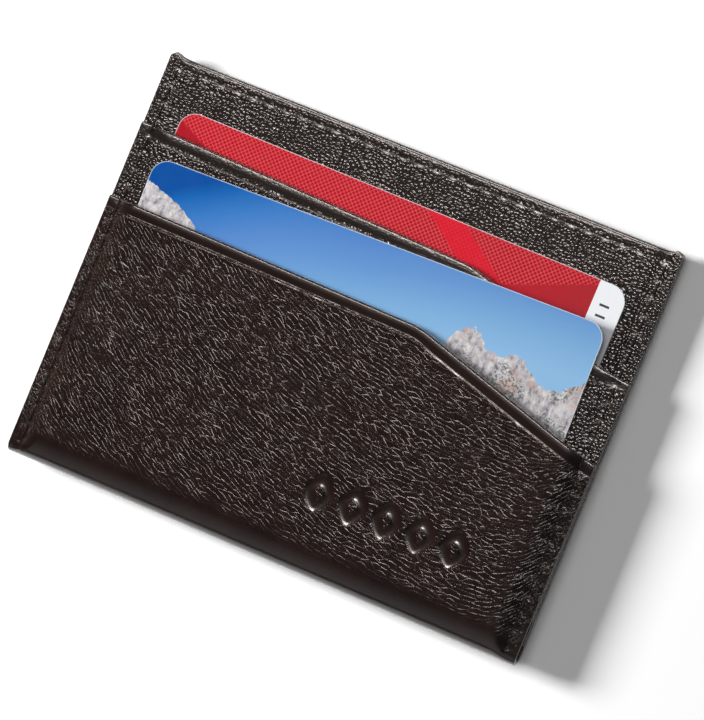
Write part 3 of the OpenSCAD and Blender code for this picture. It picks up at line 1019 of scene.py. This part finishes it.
def card_finish(shader, art, x, y, z, spot):
    """White core on the cut edges, a thin pale rim that is a painted highlight along the card's edge, the
    print on the faces, and a glossy laminate.
    """
    past_x = minus(calc("ABSOLUTE", x), CARD_W / 2 - CARD_R)
    past_y = minus(calc("ABSOLUTE", y), CARD_H / 2 - CARD_R)
    past_x = calc("MAXIMUM", past_x, 0.0)
    past_y = calc("MAXIMUM", past_y, 0.0)
    squares = calc("ADD", times(past_x, past_x), times(past_y, past_y))
    reach = calc("SQRT", squares)
    # painted highlight: a thin pale rim just inside the card's outline
    rim = span(reach, CARD_R - 0.18, CARD_R - 0.08, 0.0, 0.6)
    tone = blend(rim, art, printed(225, 228, 232))
    on_face = calc("GREATER_THAN", calc("ABSOLUTE", z), CARD_T / 2 - 0.04)
    tone = blend(on_face, printed(238, 238, 238), tone)
    mottle = noise(spot, 0.9, 3.0)
    set_inputs(shader, {
        "Base Color": tone,
        "Roughness": span(mottle, 0.3, 0.7, 0.16, 0.22),
        "Normal": tilted(mottle, 0.15, 0.01),
        "Coat Weight": 0.12,
        "Coat Roughness": 0.2,
    })


def colour_ramp(value, stops):
    made = add("ValToRGB", {0: value})
    ramp_data = made.color_ramp
    while len(ramp_data.elements) < len(stops):
        ramp_data.elements.new(0.5)
    for element, (place, colour) in zip(ramp_data.elements, stops):
        element.position = place
        element.color = colour
    return made.outputs["Color"]


def profile(value, points):
    """A curve through (place, height) pairs, both 0 to 1."""
    made = add("FloatCurve", {"Value": value})
    curve = made.mapping.curves[0]
    while len(curve.points) < len(points):
        curve.points.new(0.5, 0.5)
    for point, (place, height) in zip(curve.points, points):
        point.location = (place, height)
    made.mapping.update()
    return made.outputs[0]


def sky_colour(u, v):
    """Deep blue at the left, paler to the right and downwards."""
    across = profile(u, [
        (0.0, 0.0), (0.05, 0.18), (0.15, 0.36), (0.25, 0.52), (0.35, 0.64), (0.5, 0.75), (0.65, 0.86),
        (0.8, 0.94), (1.0, 0.99)])
    fade = calc("ADD", across, times_plus(v, -2.0, 1.64))
    return colour_ramp(fade, [
        (0.0, printed(0, 75, 152)), (0.08, printed(14, 95, 172)), (0.24, printed(54, 118, 190)),
        (0.42, printed(84, 134, 200)), (0.60, printed(100, 150, 208)), (0.80, printed(122, 172, 217)),
        (1.0, printed(140, 186, 226))])


def skyline(spot, u):
    """Height of the crags: one at the left edge and two peaks at the right, made ragged by noise."""
    ridge = profile(u, [
        (0.0, 0.92), (0.12, 0.84), (0.2, 0.7), (0.5, 0.55), (0.67, 0.66), (0.72, 0.82), (0.75, 0.85),
        (0.8, 0.79), (0.85, 0.81), (0.93, 0.75), (1.0, 0.82)])
    rough_edge = minus(noise(spot, 0.8, 5.0), 0.5)
    jag = times(rough_edge, span(u, 0.2, 0.7, 0.02, 0.042))
    return calc("ADD", ridge, jag)


def crag_colour(spot, u, v):
    """Pale streaked rock with warm patches and bushes, and dark woods at its foot."""
    facets = noise(vector("MULTIPLY", spot, (1.0, 0.6, 1.0)), 1.1, 6.0, Roughness=0.65)
    rock = colour_ramp(facets, [
        (0.34, printed(120, 118, 128)), (0.44, printed(172, 168, 172)), (0.56, printed(202, 197, 199)),
        (0.68, printed(226, 221, 220))])
    warm = noise(spot, 0.28, 2.0)
    rock = blend(span(warm, 0.54, 0.68, 0.0, 0.55), rock, printed(196, 158, 142))
    bush = noise(spot, 2.2, 3.0)
    grove = noise(spot, 0.22, 0.0)
    green = times(span(bush, 0.50, 0.58), span(grove, 0.46, 0.56))
    green = times(green, span(u, 0.70, 0.78))
    rock = blend(times(green, 0.8), rock, printed(84, 100, 92))
    tree_line = times_plus(facets, 0.16, times(warm, 0.25))
    woods = span(minus(v, tree_line), 0.16, 0.20, 1.0, 0.0)
    needles = blend(span(bush, 0.36, 0.62), printed(24, 42, 34), printed(112, 128, 88))
    return blend(woods, rock, needles)


def mountain_card_material():
    """A plain picture: a sky deepening to the left over pale crags."""
    material, tree, shader = new_material("mountain_print")
    spot, x, y, z = card_place(tree, "front_card_body", "front_card_magnetic_stripe")
    u = times_plus(x, 1 / CARD_W, 0.5)
    v = times_plus(y, 1 / CARD_H, 0.5)
    ground = calc("GREATER_THAN", skyline(spot, u), v)
    art = blend(ground, sky_colour(u, v), crag_colour(spot, u, v))
    card_finish(shader, art, x, y, z, spot)
    return material


def red_net(spot, x, y):
    """Dark dots on a lighter red net, with one plain slanting band."""
    grid = turned_by(vector("SCALE", spot, 1 / DOT_PITCH), radians(45))
    dots = add("TexVoronoi", {"Vector": grid, "Scale": 1.0, "Randomness": 0.0}, voronoi_dimensions="2D")
    dot = span(dots.outputs["Distance"], 0.30, 0.52)
    net = blend(dot, printed(162, 22, 36), printed(222, 62, 70))
    plain = blend(dot, printed(208, 20, 42), printed(222, 28, 50))
    sweep = times_plus(y, 1.4, x)
    starts = span(sweep, BAND_START - BAND_BLUR, BAND_START + BAND_BLUR)
    ends = span(sweep, BAND_END + BAND_BLUR, BAND_END - BAND_BLUR)
    band = times(starts, ends)
    return blend(band, net, plain)


def darker_corners(art, x, y):
    """A dark wedge at the lower left and a dimmer one at the lower right."""
    wedge = span(times_plus(x, 0.47, y), WEDGE_TOP + WEDGE_BLUR, WEDGE_TOP - WEDGE_BLUR)
    art = blend(wedge, art, printed(168, 20, 35))
    lower = span(times_plus(x, -0.4, y), DIM_TOP + WEDGE_BLUR, DIM_TOP - WEDGE_BLUR)
    lower = times(lower, span(x, -5.0, 0.0))
    dim = blend(span(x, 15.0, 37.0), printed(190, 24, 45), printed(174, 32, 43))
    return blend(lower, art, dim)


def end_bars(x, y):
    """1 on the plain short bars of the end strip."""
    off_row = calc("ABSOLUTE", minus(x, CARD_W / 2 - BAR_INSET))
    off_centre = calc("ABSOLUTE", minus(y, BARS_Y))
    step = calc("FRACT", times(y, 1 / BAR_PITCH))
    in_row = times(calc("LESS_THAN", off_row, BAR_HALF_LENGTH), calc("LESS_THAN", step, BAR_SHARE))
    return times(in_row, calc("LESS_THAN", off_centre, BARS_HALF_HEIGHT))


def red_card_material():
    """A red dotted net, and a pale end strip with two plain bars."""
    material, tree, shader = new_material("red_net_print")
    spot, x, y, z = card_place(tree, "middle_card_body", "middle_card_magnetic_stripe")
    art = darker_corners(red_net(spot, x, y), x, y)
    strip = calc("GREATER_THAN", x, CARD_W / 2 - STRIP_W)
    art = blend(strip, art, printed(240, 242, 246))
    art = blend(end_bars(x, y), art, printed(70, 74, 82))
    card_finish(shader, art, x, y, z, spot)
    return material


def film_material(name, dark, light, rough):
    material, tree, shader = new_material(name)
    mottle = noise(place_mm(tree)[0], 1.6, 4.0)
    set_inputs(shader, {
        "Base Color": blend(mottle, dark, light),
        "Roughness": span(mottle, 0.2, 0.8, rough - 0.06, rough + 0.06),
        "Normal": tilted(mottle, 0.2, 0.02),
    })
    return material


def chip_material():
    """Brushed gold contacts, parted by fine dark lines."""
    material, tree, shader = new_material("gold_contacts")
    place = place_mm(tree)[0]
    brushed = noise(vector("MULTIPLY", place, (6, 0.6, 1)), 1.0, 2.0)
    gaps = add("TexBrick", {"Vector": place, "Scale": 0.24, "Mortar Size": 0.02}, offset=0.0)
    gold = blend(brushed, srgb(196, 160, 84), srgb(232, 204, 132))
    set_inputs(shader, {
        "Base Color": blend(gaps.outputs["Fac"], gold, srgb(110, 86, 40)),
        "Roughness": span(brushed, 0.2, 0.8, 0.2, 0.36),
        "Normal": tilted(brushed, 0.2, 0.01),
        "Metallic": 1.0,
    })
    return material


def dress(node, material):
    """Puts a material on a CAD node that is shown as it is."""
    slots = nodes[node].data.materials
    slots.clear()
    slots.append(material)
    nodes[node].data.shade_smooth()
    nodes[node].data.set_sharp_from_angle(angle=radians(40))


def make_cards():
    dress("front_card_body", mountain_card_material())
    dress("middle_card_body", red_card_material())
    chip = chip_material()
    stripe = film_material("magnetic_film", srgb(20, 20, 22), srgb(38, 36, 36), 0.36)
    sign = film_material("signature_film", srgb(214, 214, 206), srgb(236, 236, 230), 0.6)
    for card in ("front_card", "middle_card"):
        dress(card + "_chip", chip)
        dress(card + "_magnetic_stripe", stripe)
        dress(card + "_signature_strip", sign)


# ---- floor, lights and camera
FLOOR_SIZE = 4.0
FLOOR_DROP = 0.00002
LIGHT_DISTANCE = 0.9
# the panels that light the fold, from the lowest up: each gives less, so the fold fades softly
FOLD_FILL_WATTS = (0.17, 0.16, 0.14, 0.11, 0.07, 0.03)
IMAGE_W_PX = 704
FOCAL_PX = 4500.0
# the camera as it was fitted to the corners of the card and the wallet, in degrees and millimetres
CAMERA_TURN = 14.99
CAMERA_TILT = -0.27
CAMERA_ROLL = 22.36
CAMERA_PLACE = (1.2, -0.7, 776.0)


def make_floor():
    bpy.ops.mesh.primitive_plane_add(size=FLOOR_SIZE, location=(0, 0, -FLOOR_DROP))
    floor = bpy.context.object
    floor.name = "studio_floor"
    material, _, shader = new_material("pale_floor")
    white = (0.95, 0.95, 0.95, 1)
    set_inputs(shader, {"Base Color": white, "Roughness": 0.9, "Specular IOR Level": 0.1})
    floor.data.materials.append(material)


def area_light(name, azimuth, elevation, size, watts, mirrored=True, lights_matt=True, tint=(1, 1, 1)):
    """A soft panel that faces the wallet; azimuth 0 is +x, 90 is +y; size in metres."""
    a = radians(azimuth)
    e = radians(elevation)
    place = Vector((cos(a) * cos(e), sin(a) * cos(e), sin(e))) * LIGHT_DISTANCE
    data = bpy.data.lights.new(name, "AREA")
    data.shape = "RECTANGLE"
    data.size, data.size_y = size
    data.energy = watts
    data.color = tint
    lamp = bpy.data.objects.new(name, data)
    lamp.location = place
    lamp.visible_glossy = mirrored
    lamp.visible_diffuse = lights_matt
    lamp.rotation_euler = place.to_track_quat("Z", "Y").to_euler()
    bpy.context.scene.collection.objects.link(lamp)


def make_lights():
    world = bpy.data.worlds.new("studio")
    world.use_nodes = True
    set_inputs(world.node_tree.nodes["Background"], {"Color": (1, 1, 1, 1), "Strength": 0.03})
    bpy.context.scene.world = world
    area_light("key", 182, 22, (0.28, 0.20), 19.6, mirrored=False)
    area_light("top_panel", 95, 80, (0.6, 0.6), 2.3, mirrored=False)
    area_light("gloss_strip", 95, 58, (0.9, 0.12), 12.5, lights_matt=False, tint=(1.0, 0.88, 0.83))
    for step, watts in enumerate(FOLD_FILL_WATTS):
        area_light("fold_fill_%d" % (step + 1), -85, 20 + 9 * step, (0.9, 0.16), watts)


def make_camera():
    """A long lens over the wallet, turned to its right side and rolled."""
    turn = Matrix.Rotation(radians(CAMERA_TURN), 3, "Y")
    tilt = Matrix.Rotation(radians(CAMERA_TILT), 3, "X")
    roll = Matrix.Rotation(radians(CAMERA_ROLL), 3, "Z")
    view = turn @ tilt @ roll
    data = bpy.data.cameras.new("photo_camera")
    data.sensor_fit = "HORIZONTAL"
    data.sensor_width = 36.0
    data.lens = FOCAL_PX / IMAGE_W_PX * data.sensor_width
    data.clip_start = 0.01
    data.clip_end = 10
    camera = bpy.data.objects.new("photo_camera", data)
    camera.matrix_world = Matrix.Translation(view @ Vector(CAMERA_PLACE) * MM) @ view.to_4x4()
    bpy.context.scene.collection.objects.link(camera)
    bpy.context.scene.camera = camera


make_camera()
make_wallet()
make_cards()
make_floor()
make_lights()
bpy.context.scene.view_settings.view_transform = "Standard"
